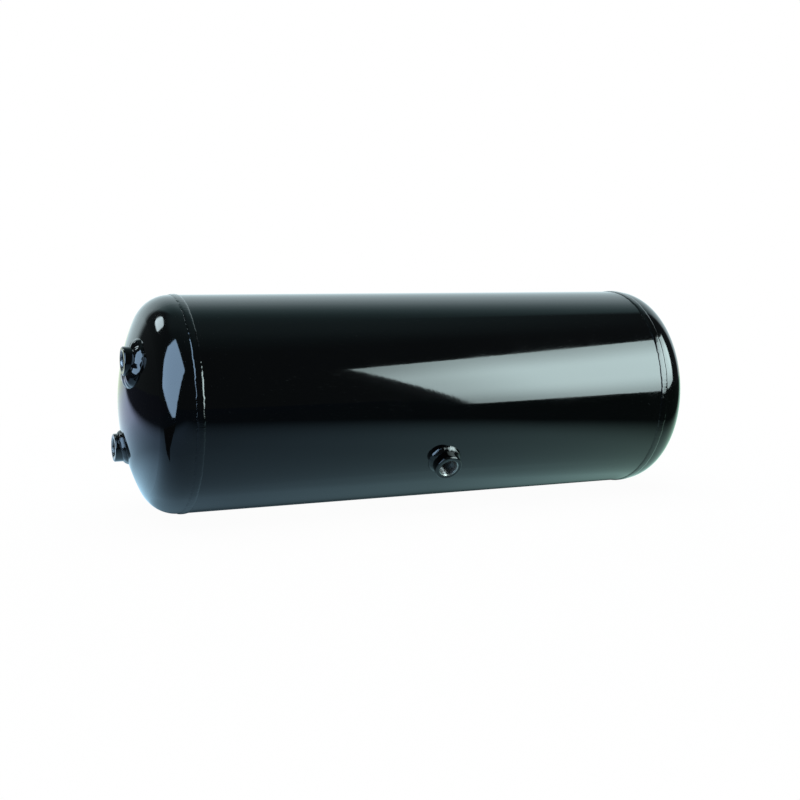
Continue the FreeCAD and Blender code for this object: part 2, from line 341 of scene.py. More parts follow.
def face_outwards(mesh):
    """A closed mesh whose faces all agree is turned inside out if its volume is negative."""
    shape = bmesh.new()
    shape.from_mesh(mesh)
    bmesh.ops.remove_doubles(shape, verts=shape.verts, dist=1e-7)
    bmesh.ops.recalc_face_normals(shape, faces=shape.faces)
    if shape.calc_volume(signed=True) < 0:
        bmesh.ops.reverse_faces(shape, faces=shape.faces)
    shape.to_mesh(mesh)
    shape.free()


def settle_nodes(source, group, values, name, place=None):
    """Runs a geometry node group on a mesh with named values, and keeps its result as a plain mesh."""
    holder = bpy.data.objects.new(f"{name}_source", source)
    bpy.context.scene.collection.objects.link(holder)
    modifier = holder.modifiers.new(group.name, "NODES")
    modifier.node_group = group
    sockets = {item.name: item.identifier for item in group.interface.items_tree
               if item.item_type == "SOCKET" and item.in_out == "INPUT"}
    for key, value in values.items():
        modifier[sockets[key]] = value
    bpy.context.view_layer.update()
    evaluated = holder.evaluated_get(bpy.context.evaluated_depsgraph_get())
    mesh = bpy.data.meshes.new_from_object(evaluated)
    bpy.data.objects.remove(holder)
    face_outwards(mesh)
    if place is not None:
        mesh.transform(place)
    mesh.name = name
    piece = bpy.data.objects.new(name, mesh)
    bpy.context.scene.collection.objects.link(piece)
    return piece


def new_group(name, inputs):
    """A geometry node group with named inputs, each (name, socket kind, default)."""
    group = bpy.data.node_groups.new(name, "GeometryNodeTree")
    group.interface.new_socket("Geometry", in_out="INPUT", socket_type="NodeSocketGeometry")
    for label, kind, default in inputs:
        socket = group.interface.new_socket(label, in_out="INPUT", socket_type=f"NodeSocket{kind}")
        if default is not None:
            socket.default_value = default
    group.interface.new_socket("Geometry", in_out="OUTPUT", socket_type="NodeSocketGeometry")
    tree = Tree(group)
    return group, tree, tree.node("NodeGroupInput").outputs


def end_group(tree, geometry, given, merge=1e-6):
    """Merges the seams, realizes instances, sets the material and closes the group."""
    merged = tree.node("GeometryNodeMergeByDistance", Geometry=geometry, Distance=merge)
    real = tree.node("GeometryNodeRealizeInstances", Geometry=merged.outputs[0])
    smooth = tree.node("GeometryNodeSetShadeSmooth", Geometry=real.outputs[0])
    dressed = tree.node("GeometryNodeSetMaterial", Geometry=smooth.outputs[0],
                        Material=given["Material"])
    output = tree.node("NodeGroupOutput")
    tree.tree.links.new(dressed.outputs[0], output.inputs[0])


def unit_grid(tree, along, across):
    """A grid whose two coordinates, each from 0 to 1, are returned with it."""
    grid = tree.node("GeometryNodeMeshGrid", Size_X=1.0, Size_Y=1.0, Vertices_X=along,
                     Vertices_Y=across)
    x, y, _ = tree.split(tree.node("GeometryNodeInputPosition").outputs[0])
    return grid.outputs[0], tree.add(x, 0.5), tree.add(y, 0.5)


def set_position(tree, geometry, position):
    return tree.node("GeometryNodeSetPosition", Geometry=geometry, Position=position).outputs[0]


TURN = 2 * math.pi


def round_section(tree, section):
    """Runs round a bead's section: side is -1 and 1 at its toes, lift is above 0 over the plate."""
    phi = tree.mul(section, TURN)
    return tree.mul(tree.math("COSINE", phi), -1.0), tree.math("SINE", phi)


def ripple_step(tree, run, ripples, side, bow, height):
    """A low step for each ripple, which curves back towards the bead's toes."""
    phase = tree.math("FRACT", tree.add(tree.mul(run, ripples), tree.mul(tree.mul(side, side), bow)))
    return tree.mul(tree.sub(tree.mul(phase, phase), 0.5), height)


def flat_crown(tree, side):
    """Height across a bead, from 0 at its toes to 1 over a broad, nearly flat middle."""
    square = tree.mul(side, side)
    return tree.sub(1.0, tree.mul(square, square))


def bead_height(tree, side, lift, crown, step, sink):
    """Height of a bead's skin over the plate: crown and ripples above it, a flat arc of sink below it."""
    top, under = tree.math("MAXIMUM", lift, 0.0), tree.math("MINIMUM", lift, 0.0)
    body = tree.mul(tree.mul(flat_crown(tree, side), crown), tree.math("GREATER_THAN", lift, 0.0))
    return tree.add(tree.add(body, tree.mul(top, step)), tree.mul(under, sink))


def ring_noise(tree, turn, size, seed, *shape):
    """Noise that closes on itself round a ring. A larger size gives more lumps."""
    cosine, sine = turn
    return tree.noise(tree.vector(tree.mul(cosine, size), tree.mul(sine, size), seed), 1.0, *shape)


def bead_across(tree, side, slow, quick, given, unevenness):
    """Place across a bead, whose line drifts slowly and whose width changes quickly."""
    drift = tree.mul(tree.sub(slow, 0.5), given["Wander"])
    spread = tree.add(1.0, tree.mul(tree.sub(quick, 0.5), unevenness))
    return tree.add(drift, tree.mul(tree.mul(side, spread), tree.mul(given["Width"], 0.5)))


def girth_bead_group():
    """A ring of stacked ripples about X, its section closed under the plate."""
    group, tree, given = new_group("girth_bead", [
        ("Radius", "Float", 0.123), ("Width", "Float", 0.0083), ("Crown", "Float", 0.001),
        ("Sink", "Float", 0.0006), ("Ripples", "Int", 480), ("Ripple Height", "Float", 0.0002),
        ("Wander", "Float", 0.0005), ("Centre", "Float", 0.0), ("Seed", "Float", 0.0),
        ("Around", "Int", 2880), ("Across", "Int", 25), ("Material", "Material", None)])
    grid, turn, section = unit_grid(tree, tree.add(given["Around"], 1), given["Across"])
    angle_round = tree.mul(turn, TURN)
    sine, cosine = tree.math("SINE", angle_round), tree.math("COSINE", angle_round)
    side, lift = round_section(tree, section)
    slow = ring_noise(tree, (cosine, sine), 9.0, given["Seed"], 3.0, 0.6)
    quick = ring_noise(tree, (cosine, sine), 16.0, tree.add(given["Seed"], 9.0), 2.0)
    across = tree.add(given["Centre"], bead_across(tree, side, slow, quick, given, 0.5))
    step = ripple_step(tree, turn, given["Ripples"], side, 1.6, given["Ripple Height"])
    crown = tree.mul(given["Crown"], tree.add(0.72, tree.mul(slow, 0.4)))
    reach = tree.add(given["Radius"], bead_height(tree, side, lift, crown, step, given["Sink"]))
    place = tree.vector(across, tree.mul(reach, cosine), tree.mul(reach, sine))
    end_group(tree, set_position(tree, grid, place), given)
    return group


def straight_bead_group():
    """A straight bead along X on a round shell, lying at the top before it is turned into place."""
    group, tree, given = new_group("seam_bead", [
        ("Radius", "Float", 0.123), ("Length", "Float", 0.56), ("Width", "Float", 0.007),
        ("Crown", "Float", 0.0008), ("Sink", "Float", 0.0006), ("Ripples", "Int", 330),
        ("Ripple Height", "Float", 0.0002), ("Wander", "Float", 0.0005), ("Seed", "Float", 0.0),
        ("Along", "Int", 1980), ("Across", "Int", 17), ("Material", "Material", None)])
    grid, run, section = unit_grid(tree, given["Along"], given["Across"])
    side, lift = round_section(tree, section)
    slow = tree.noise(tree.vector(tree.mul(run, 14.0), 0.0, given["Seed"]), 1.0, 3.0, 0.6)
    quick = tree.noise(tree.vector(tree.mul(run, 90.0), 0.0, tree.add(given["Seed"], 9.0)), 1.0, 2.0)
    across = bead_across(tree, side, slow, quick, given, 0.3)
    step = ripple_step(tree, run, given["Ripples"], side, 1.4, given["Ripple Height"])
    crown = tree.mul(given["Crown"], tree.add(0.7, tree.mul(slow, 0.4)))
    height = bead_height(tree, side, lift, crown, step, given["Sink"])
    level = round_level(tree, given["Radius"], tree.mul(across, across))
    place = tree.vector(tree.mul(tree.sub(run, 0.5), given["Length"]), across, tree.add(level, height))
    end_group(tree, set_position(tree, grid, place), given)
    return group


def round_level(tree, radius, square_aside):
    """Height of a round wall over its centre, at a place whose distance aside is given squared."""
    return tree.math("SQRT", tree.sub(tree.mul(radius, radius), square_aside))


def fillet_bead_group():
    """A ring of weld round a boss on a curved wall, in the port's own frame.

    The wall is round about a centre that lies Offset aside and Rise below. Lean is 1 on a
    dished head and 0 on a shell, which is straight along the frame's X.
    """
    group, tree, given = new_group("fillet_bead", [
        ("Boss Radius", "Float", 0.016), ("Leg", "Float", 0.005), ("Foot", "Float", 0.0042),
        ("Wall Radius", "Float", 0.123), ("Offset", "Float", 0.0), ("Rise", "Float", 0.123),
        ("Lean", "Float", 0.0), ("Ripples", "Int", 60), ("Ripple Height", "Float", 0.0003),
        ("Wander", "Float", 0.0006), ("Bulge", "Float", 0.0006), ("Lumps", "Float", 0.0),
        ("Skew", "Float", 0.0), ("Sink", "Float", 0.001), ("Seed", "Float", 0.0),
        ("Around", "Int", 540), ("Across", "Int", 33), ("Material", "Material", None)])
    grid, turn, section = unit_grid(tree, tree.add(given["Around"], 1), given["Across"])
    angle_round = tree.mul(turn, TURN)
    sine, cosine = tree.math("SINE", angle_round), tree.math("COSINE", angle_round)
    side, lift = round_section(tree, section)
    top, under = tree.math("MAXIMUM", lift, 0.0), tree.math("MINIMUM", lift, 0.0)
    slow = ring_noise(tree, (cosine, sine), 1.4, given["Seed"], 1.0)
    quick = ring_noise(tree, (cosine, sine), 5.0, tree.add(given["Seed"], 9.0), 2.0)
    uneven = tree.add(0.8, tree.mul(slow, 0.4))
    spread = tree.mul(given["Foot"], tree.sub(1.0, tree.mul(given["Skew"], cosine)))
    foot = tree.add(tree.mul(spread, uneven), tree.mul(tree.sub(quick, 0.5), given["Wander"]))
    leg = tree.add(tree.mul(given["Leg"], uneven), tree.mul(tree.sub(slow, 0.5), given["Wander"]))
    # out runs from 0 on the boss to 1 at the toe on the wall
    out = tree.mul(tree.add(side, 1.0), 0.5)
    step = tree.mul(top, ripple_step(tree, turn, given["Ripples"], side, 0.9, given["Ripple Height"]))
    lumps = tree.add(1.0, tree.mul(tree.sub(slow, 0.5), given["Lumps"]))
    bulge = tree.add(tree.mul(tree.mul(tree.mul(top, top), lumps), given["Bulge"]), step)
    # The skin bulges halfway between up and out, so each takes about 0.7 of it
    normal_out = tree.mul(tree.add(bulge, tree.mul(under, given["Sink"])), 0.7)
    reach = tree.add(tree.add(given["Boss Radius"], tree.mul(out, foot)), normal_out)
    x, y = tree.mul(reach, cosine), tree.mul(reach, sine)
    lean_x = tree.mul(given["Lean"], tree.add(x, given["Offset"]))
    square_aside = tree.add(tree.mul(lean_x, lean_x), tree.mul(y, y))
    level = tree.sub(round_level(tree, given["Wall Radius"], square_aside), given["Rise"])
    climb = tree.add(tree.mul(tree.sub(1.0, out), leg), normal_out)
    end_group(tree, set_position(tree, grid, tree.vector(x, y, tree.add(level, climb))), given)
    return group


def thread_group():
    """Cuts a helical groove into the faces of a bore that carry the attribute cut."""
    group, tree, given = new_group("internal_thread", [
        ("Pitch", "Float", 0.0015), ("Depth", "Float", 0.0008), ("Start", "Float", 0.0),
        ("Material", "Material", None)])
    x, y, z = tree.split(tree.node("GeometryNodeInputPosition").outputs[0])
    turn = tree.div(tree.math("ARCTAN2", y, x), TURN)
    along = tree.add(tree.sub(tree.div(z, given["Pitch"]), turn), given["Start"])
    phase = tree.math("PINGPONG", along, 0.5)
    groove = tree.remap(phase, 0.06, 0.44, 0.0, 1.0, smooth=False)
    cut = tree.node("GeometryNodeInputNamedAttribute", {"data_type": "FLOAT"}, Name="cut").outputs[0]
    grow = tree.mul(tree.mul(groove, cut), given["Depth"])
    radius = tree.math("SQRT", tree.add(tree.mul(x, x), tree.mul(y, y)))
    scale = tree.div(tree.add(radius, grow), radius)
    place = tree.vector(tree.mul(x, scale), tree.mul(y, scale), z)
    moved = set_position(tree, given["Geometry"], place)
    real = tree.node("GeometryNodeRealizeInstances", Geometry=moved)
    selection = tree.math("GREATER_THAN", cut, 0.001)
    dressed = tree.node("GeometryNodeSetMaterial", Geometry=real.outputs[0], Selection=selection,
                        Material=given["Material"])
    output = tree.node("NodeGroupOutput")
    tree.tree.links.new(dressed.outputs[0], output.inputs[0])
    return group


# ---------------------------------------------------------------- ports

class Port:
    """A port's own frame: Z out of its mouth, and the origin on the wall's outside on its axis."""

    def __init__(self, mount, bosses):
        self.name = mount["name"]
        self.bore = mount["dims"]["r_mm"] / 1000
        self.depth = mount["dims"]["length_mm"] / 1000
        self.axis = Vector(mount["axis"]).normalized()
        middle = Vector(mount["pos_m"])
        self.countersink = bosses.mouth_radius - self.bore
        face = middle + self.axis * (self.depth / 2 + self.countersink)
        self.on_head = abs(self.axis.x) > 0.5
        self.stand = bosses.head_stand if self.on_head else bosses.shell_stand
        self.origin = face - self.axis * self.stand
        if self.on_head:
            aside = Vector((0, middle.y, middle.z))
            self.offset, self.wall_radius = aside.length, bosses.crown_radius
            self.across = aside.normalized()
        else:
            self.offset, self.wall_radius = 0.0, SHELL_RADIUS
            self.across = Vector((1, 0, 0))
        self.rise = math.sqrt(self.wall_radius**2 - self.offset**2)

    def place(self):
        columns = Matrix((self.across, self.axis.cross(self.across), self.axis)).transposed()
        return Matrix.Translation(self.origin) @ columns.to_4x4()


def boss_radius(port):
    """From the boss's box, which is square to a port that points along an axis."""
    low, high = (Vector(corner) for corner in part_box(f"{port.name}_boss"))
    return (high.x - low.x) / 2 if not port.on_head else max(high.y - low.y, high.z - low.z) / 2


BARE = 0.002  # a share of the thread's depth, too small to show, that marks bare steel
BOSS_SIDES = 96
CUTS_PER_PITCH = 10
SIDE_STEPS = 6
INNER_CHAMFER = 0.0005
RUN_OUT = 0.0001


def outer_profile(port, bosses, radius):
    """From the bore's inner end round the outside to the countersink: radius, height and share of thread."""
    inside, stand = port.stand - port.countersink - port.depth, port.stand
    mouth, edge = bosses.mouth_radius, bosses.edge
    rounding = edge * 0.25
    low = inside + INNER_CHAMFER
    rise = (stand - edge - inside) / SIDE_STEPS
    profile = [(port.bore, inside, 0.0), (radius - INNER_CHAMFER, inside, 0.0), (radius, low, 0.0)]
    profile += [(radius, inside + rise * step, 0.0) for step in range(1, SIDE_STEPS)]
    return profile + [
        (radius, stand - edge - rounding, 0.0),
        (radius - rounding * 0.3, stand - edge + rounding * 0.4, 0.0),
        (radius - edge + rounding * 0.4, stand - rounding * 0.3, 0.0),
        (radius - edge - rounding, stand, 0.0),
        (mouth + rounding, stand, 0.0), (mouth, stand - rounding * 0.5, BARE)]


def bore_profile(port, bosses):
    """Down the bore, finely divided. The thread fades in and out over one pitch."""
    top = port.stand - port.countersink
    samples = int(port.depth / bosses.thread_pitch * CUTS_PER_PITCH)
    profile = [(port.bore + RUN_OUT, top + RUN_OUT, BARE)]
    for step in range(samples + 1):
        depth = port.depth * step / samples
        fade = min(1.0, depth / bosses.thread_pitch, (port.depth - depth) / bosses.thread_pitch + 0.001)
        profile.append((port.bore, top - depth, max(fade, BARE)))
    return profile


def turned_boss(port, bosses, radius):
    """The boss's lathe profile swept round its axis, with the attribute cut where the thread will be."""
    profile = outer_profile(port, bosses, radius) + bore_profile(port, bosses)
    vertices = [(r * math.cos(TURN * k / BOSS_SIDES), r * math.sin(TURN * k / BOSS_SIDES), z)
                for r, z, _ in profile for k in range(BOSS_SIDES)]
    faces = []
    for ring in range(len(profile)):
        here, there = ring * BOSS_SIDES, (ring + 1) % len(profile) * BOSS_SIDES
        for k in range(BOSS_SIDES):
            following = (k + 1) % BOSS_SIDES
            faces.append((here + k, here + following, there + following, there + k))
    mesh = bpy.data.meshes.new(f"{port.name}_turning")
    mesh.from_pydata(vertices, [], faces)
    cut = mesh.attributes.new("cut", "FLOAT", "POINT")
    cut.data.foreach_set("value", [c for _, _, c in profile for _ in range(BOSS_SIDES)])
    mesh.materials.append(material_named("gloss_black_paint"))
    return mesh


# ---------------------------------------------------------------- heads

ON_AXIS = 0.0001  # how near the tank's axis a point counts as a crown's middle
EMPTY_AREA = 1e-12  # square metres


def pressed_head(name):
    """A copy of a head without empty triangles. At the crown's middle its normals lie along the axis."""
    plate = frame["nodes"][name].data
    faces = [face for face in plate.polygons if face.area > EMPTY_AREA]
    mesh = bpy.data.meshes.new(f"{name}_pressed")
    places = [vertex.co for vertex in plate.vertices]
    mesh.from_pydata(places, [], [tuple(face.vertices) for face in faces])
    corners = [corner for face in faces for corner in face.loop_indices]
    normals = [plate.corner_normals[corner].vector.copy() for corner in corners]
    for corner in mesh.loops:
        place, normal = places[corner.vertex_index], normals[corner.index]
        if math.hypot(place.y, place.z) < ON_AXIS:
            normals[corner.index] = Vector((math.copysign(1.0, normal.x), 0.0, 0.0))
    mesh.shade_smooth()
    mesh.normals_split_custom_set(normals)
    piece = bpy.data.objects.new(mesh.name, mesh)
    bpy.context.scene.collection.objects.link(piece)
    return piece


# ---------------------------------------------------------------- operators

def settings(name):
    return getattr(bpy.context.scene, name)


class TANK_OT_paint_plate(bpy.types.Operator):
    """Paint the shell and the heads"""

    bl_idname = "tank.paint_plate"
    bl_label = "Paint Plate"

    def execute(self, context):
        finish = settings("tank_finish")
        paint = gloss_paint(finish)
        bare_thread(finish)
        heads = {f"{end}_head": pressed_head(f"{end}_head") for end in ENDS}
        for plate in (frame["nodes"]["shell"], *heads.values()):
            plate.data.materials.clear()
            plate.data.materials.append(paint)
        for name, piece in heads.items():
            keep_piece(piece, name)
        return {"FINISHED"}


def lay_bead(group, name, values, place=None):
    """Runs a bead's node group, which starts from nothing, and paints the bead."""
    values["Material"] = material_named("gloss_black_paint")
    return settle_nodes(bpy.data.meshes.new("empty"), group, values, name, place)


STEPS_PER_RIPPLE = 6
BITE = 0.0002  # how far a port's weld reaches into its boss
BEAD_MIDDLE = 0.002  # from the boss to the line where its weld's ripples are counted
SEED_APART = {"girth": 20, "seam": 50, "ports": 100, "port": 10}


class TANK_OT_girth_welds(bpy.types.Operator):
    """Lay the two girth welds between shell and heads"""

    bl_idname = "tank.girth_welds"
    bl_label = "Girth Welds"

    def execute(self, context):
        welds = settings("tank_welds")
        group = girth_bead_group()
        ripples = round(TURN * SHELL_RADIUS / welds.ripple_pitch)
        for number, end in enumerate(ENDS):
            low, high = (Vector(corner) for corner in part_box(f"{end}_girth_weld"))
            crown = (high.z - low.z) / 2 - SHELL_RADIUS
            bead = lay_bead(group, f"{end}_girth_bead", {
                "Radius": SHELL_RADIUS, "Width": (high.x - low.x) * welds.girth_width,
                "Crown": crown * welds.girth_crown, "Sink": welds.sink,
                "Ripples": ripples, "Ripple Height": welds.girth_ripple,
                "Wander": welds.girth_wander, "Centre": (high.x + low.x) / 2,
                "Seed": float(welds.seed + SEED_APART["girth"] * number),
                "Around": ripples * STEPS_PER_RIPPLE, "Across": 25})
            keep_piece(bead, f"{end}_girth_weld")
        return {"FINISHED"}


class TANK_OT_seam_weld(bpy.types.Operator):
    """Lay the weld along the shell's back"""

    bl_idname = "tank.seam_weld"
    bl_label = "Seam Weld"

    def execute(self, context):
        welds = settings("tank_welds")
        low, high = (Vector(corner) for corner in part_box("shell_seam_weld"))
        middle, run = (low + high) / 2, high.x - low.x
        ripples = round(run / welds.ripple_pitch)
        turn = Matrix.Rotation(math.atan2(-middle.y, middle.z), 4, "X")
        bead = lay_bead(straight_bead_group(), "seam_bead", {
            "Radius": SHELL_RADIUS, "Length": run, "Width": welds.seam_width,
            "Crown": welds.seam_crown, "Sink": welds.sink,
            "Ripples": ripples, "Ripple Height": welds.seam_ripple, "Wander": welds.wander,
            "Seed": float(welds.seed + SEED_APART["seam"]),
            "Along": ripples * STEPS_PER_RIPPLE, "Across": 17}, turn)
        keep_piece(bead, "shell_seam_weld")
        return {"FINISHED"}


def port_weld_sizes(welds, heavy):
    """The pitch of a port weld's ripples, and the sizes of its section."""
    if heavy:
        return welds.heavy_pitch, {
            "Leg": welds.heavy_leg, "Foot": welds.heavy_foot, "Bulge": welds.heavy_bulge,
            "Lumps": welds.heavy_lumps, "Skew": welds.heavy_skew, "Ripple Height": welds.heavy_ripple}
    return welds.ripple_pitch, {
        "Leg": welds.port_leg, "Foot": welds.port_foot, "Bulge": welds.port_bulge,
        "Lumps": welds.port_lumps, "Skew": 0.0, "Ripple Height": welds.port_ripple}


class TANK_OT_port_welds(bpy.types.Operator):
    """Lay a ring of weld round each boss"""

    bl_idname = "tank.port_welds"
    bl_label = "Port Welds"

    def execute(self, context):
        welds, bosses = settings("tank_welds"), settings("tank_bosses")
        group = fillet_bead_group()
        for number, mount in enumerate(PORTS):
            port = Port(mount, bosses)
            radius = boss_radius(port)
            pitch, sizes = port_weld_sizes(welds, port.on_head and "upper" in port.name)
            bead = lay_bead(group, f"{port.name}_bead", {
                **sizes, "Boss Radius": radius - BITE, "Wall Radius": port.wall_radius,
                "Offset": port.offset, "Rise": port.rise, "Lean": float(port.on_head),
                "Ripples": round(TURN * (radius + BEAD_MIDDLE) / pitch), "Wander": welds.wander,
                "Seed": float(welds.seed + SEED_APART["ports"] + SEED_APART["port"] * number),
                "Around": 520, "Across": 33}, port.place())
            keep_piece(bead, f"{port.name}_weld")
        return {"FINISHED"}


THREAD_START = 0.17  # how far the thread's start turns from one boss to the next


class TANK_OT_bosses(bpy.types.Operator):
    """Turn each boss and cut its thread"""

    bl_idname = "tank.bosses"
    bl_label = "Threaded Bosses"

    def execute(self, context):
        bosses = settings("tank_bosses")
        group = thread_group()
        for number, mount in enumerate(PORTS):
            port = Port(mount, bosses)
            turning = turned_boss(port, bosses, boss_radius(port))
            boss = settle_nodes(turning, group, {
                "Pitch": bosses.thread_pitch, "Depth": bosses.thread_depth,
                "Start": THREAD_START * number, "Material": material_named("bare_steel_thread")},
                f"{port.name}_boss_turned", port.place())
            for face in boss.data.polygons:
                face.use_smooth = True
            keep_piece(boss, f"{port.name}_boss")
        return {"FINISHED"}


class TANK_OT_studio(bpy.types.Operator):
    """Set the floor, backdrop, lights and camera"""

    bl_idname = "tank.studio"
    bl_label = "Studio"

    def execute(self, context):
        stage = settings("tank_stage")
        make_camera(stage)
        make_world(stage)
        make_table(stage)
        make_stand(stage)
        make_lights(stage)
        context.scene.view_settings.view_transform = "Standard"
        return {"FINISHED"}


def make_camera(stage):
    azimuth, elevation = stage.camera_azimuth, stage.camera_elevation
    direction = Vector((math.sin(azimuth) * math.cos(elevation),
                        -math.cos(azimuth) * math.cos(elevation), math.sin(elevation)))
    camera = bpy.data.objects.new("camera", bpy.data.cameras.new("camera"))
    bpy.context.scene.collection.objects.link(camera)
    camera.data.lens = stage.lens
    camera.data.sensor_width = 36.0
    camera.data.clip_end = 100.0
    camera.location = direction * stage.camera_distance
    aim = Vector(stage.aim) - camera.location
    camera.rotation_euler = aim.to_track_quat("-Z", "Y").to_euler()
    bpy.context.scene.camera = camera


BACKDROP_SOFT = 0.08  # half the width of its side edges' fade, in radians
OVERHEAD = (0.80, 0.95)  # how steeply up it joins the light overhead
BACKDROP_FADE = (
    # degrees up from the horizon behind the tank, over the top and down to the camera's side;
    # brightness; how much of it is red
    (0, 1.0, 1.0), (37, 1.0, 1.0), (46, 0.84, 0.96), (52, 0.61, 0.90), (59, 0.38, 0.80), (66, 0.23, 0.74),
    (72, 0.16, 0.74), (80, 0.14, 0.80), (90, 0.13, 0.8), (100, 0.09, 0.8), (130, 0.05, 0.8),
    (150, 0.04, 0.8), (180, 0.035, 0.8))


def make_world(stage):
    """A pale backdrop behind the tank that fades upwards, in an otherwise dark room."""
    world = bpy.data.worlds.new("studio")
    bpy.context.scene.world = world
    world.use_nodes = True
    world.node_tree.nodes.clear()
    tree = Tree(world.node_tree)
    x, y, z = tree.split(tree.node("ShaderNodeTexCoord").outputs["Generated"])
    turn, half = stage.camera_azimuth, stage.backdrop_half
    behind = tree.sub(tree.mul(y, math.cos(turn)), tree.mul(x, math.sin(turn)))
    level = tree.math("SQRT", tree.add(tree.mul(x, x), tree.mul(y, y)))
    inside = tree.remap(tree.div(behind, tree.add(level, 0.0001)),
                        math.cos(half + BACKDROP_SOFT), math.cos(half - BACKDROP_SOFT))
    inside = tree.math("MAXIMUM", inside, tree.remap(z, *OVERHEAD))
    lift = tree.div(tree.math("ARCTAN2", tree.math("ABSOLUTE", z), behind), math.pi)
    ramp = tree.node("ShaderNodeValToRGB")
    tree.feed(ramp.inputs[0], lift)
    elements = ramp.color_ramp.elements
    while len(elements) < len(BACKDROP_FADE):
        elements.new(0.5)
    for element, (degrees, value, red) in zip(elements, BACKDROP_FADE):
        element.position = degrees / 180
        element.color = (value * red, value, value, 1.0)
    dark = (stage.dark_room,) * 3 + (1.0,)
    seen_light = mix_colour(tree, inside, dark, ramp.outputs[0])
    tinted = tree.node("ShaderNodeVectorMath", {"operation": "MULTIPLY"})
    tree.feed(tinted.inputs[0], seen_light)
    tree.feed(tinted.inputs[1], stage.backdrop)
    lit = tree.node("ShaderNodeBackground", Strength=1.0, Color=tinted.outputs[0])
    plain = tree.node("ShaderNodeBackground", Strength=1.0, Color=(1.0, 1.0, 1.0, 1.0))
    seen = tree.node("ShaderNodeLightPath").outputs["Is Camera Ray"]
    join_shaders(tree, seen, lit, plain, "ShaderNodeOutputWorld")


def join_shaders(tree, factor, first, second, output_kind):
    mix = tree.node("ShaderNodeMixShader")
    output = tree.node(output_kind)
    tree.feed(mix.inputs[0], factor)
    tree.tree.links.new(first.outputs[0], mix.inputs[1])
    tree.tree.links.new(second.outputs[0], mix.inputs[2])
    tree.tree.links.new(mix.outputs[0], output.inputs[0])


def sheet(name, corners, material):
    mesh = bpy.data.meshes.new(name)
    mesh.from_pydata(corners, [], [tuple(range(len(corners)))])
    mesh.materials.append(material)
    thing = bpy.data.objects.new(name, mesh)
    bpy.context.scene.collection.objects.link(thing)
    return thing


TABLE_TURN = math.radians(23.3)
TABLE_MIDDLE = 0.665  # light under the tank's middle
LIGHT_TO_RIGHT = 1.15  # how much it gains for each metre to the right
LIGHT_RANGE = (0.3, 1.15)
LIT_ALONG = (-0.55, 0.4)  # from left to right, where it changes
BEHIND_LINE = 0.12  # where it starts to gain towards the back, in front of the tank's middle
FRONT_EDGE = 0.30
FRONT_BLUR = (0.075, 0.3)  # its edge's blur at the right, and the blur's gain for each metre to the left
BLUR_START = 0.1
LEFT_EDGE = (-0.80, -0.55)
LEFT_EDGE_LINE = (0.963, 0.27)
REST_SPREAD = 1.6  # how much narrower the shadow on the table gets to the right
DEEPEST_SHADE = 0.06
POOL_PLACE = (-0.38, 0.04)
POOL_REACH = (0.02, 0.19)
POOL_LIGHT = 1.85
TABLE_DIM = 0.04


def under_tank(tree, stage, x, y, along):
    """How much light reaches the table beside the line on which the tank rests."""
    past = tree.math("MAXIMUM", tree.sub(tree.math("ABSOLUTE", x), SHELL_HIGH.x * 0.95), 0.0)
    apart = tree.math("SQRT", tree.add(tree.mul(past, past), tree.mul(y, y)))
    apart = tree.mul(apart, tree.add(1.0, tree.mul(tree.math("MAXIMUM", along, 0.0), REST_SPREAD)))
    darkest = stage.contact_shade * 0.42
    return tree.remap(apart, darkest, stage.contact_shade, DEEPEST_SHADE, 1.0, smooth=False)


def pool_of_light(tree, x, y):
    """The brighter patch of table beside the left head."""
    by_head = tree.vector(tree.sub(x, POOL_PLACE[0]), tree.sub(y, POOL_PLACE[1]), 0.0)
    away = tree.node("ShaderNodeVectorMath", {"operation": "LENGTH"}, Vector=by_head).outputs["Value"]
    return tree.remap(away, *POOL_REACH, POOL_LIGHT, 1.0)


def table_edges(tree, x, y, back, along):
    """1 on the lit table and 0 past its front and left edges. The front edge blurs to the left."""
    leftwards = tree.math("MAXIMUM", tree.sub(BLUR_START, along), 0.0)
    blur = tree.add(FRONT_BLUR[0], tree.mul(leftwards, FRONT_BLUR[1]))
    front = tree.remap(tree.div(tree.add(back, FRONT_EDGE), blur), -1.0, 1.0)
    from_left = tree.add(tree.mul(x, LEFT_EDGE_LINE[0]), tree.mul(y, LEFT_EDGE_LINE[1]))
    return tree.mul(front, tree.remap(from_left, *LEFT_EDGE))


def clip(tree, value, low, high):
    return tree.math("MINIMUM", tree.math("MAXIMUM", value, low), high)


def table_light(tree, stage):
    """Strength and tint of the lit table as the paint mirrors it: brighter to the right and the back."""
    x, y, _ = tree.split(tree.node("ShaderNodeTexCoord").outputs["Object"])
    cosine, sine = math.cos(TABLE_TURN), math.sin(TABLE_TURN)
    back = tree.sub(tree.mul(y, cosine), tree.mul(x, sine))
    along = clip(tree, tree.add(tree.mul(x, cosine), tree.mul(y, sine)), *LIT_ALONG)
    depth = tree.math("MAXIMUM", tree.add(back, BEHIND_LINE), 0.0)
    light = tree.add(tree.add(TABLE_MIDDLE, tree.mul(along, LIGHT_TO_RIGHT)), depth)
    light = clip(tree, light, *LIGHT_RANGE)
    lit = tree.mul(table_edges(tree, x, y, back, along), under_tank(tree, stage, x, y, along))
    lit = tree.mul(lit, pool_of_light(tree, x, y))
    red = tree.remap(depth, 0.2, 1.2, 0.6, 0.85)
    blue = tree.sub(1.10, tree.mul(along, 0.7))
    return tree.add(TABLE_DIM, tree.mul(light, lit)), tree.vector(red, 1.0, blue)


TABLE_HALF = 30.0
SHADOW_REACH = (0.35, 1.1)


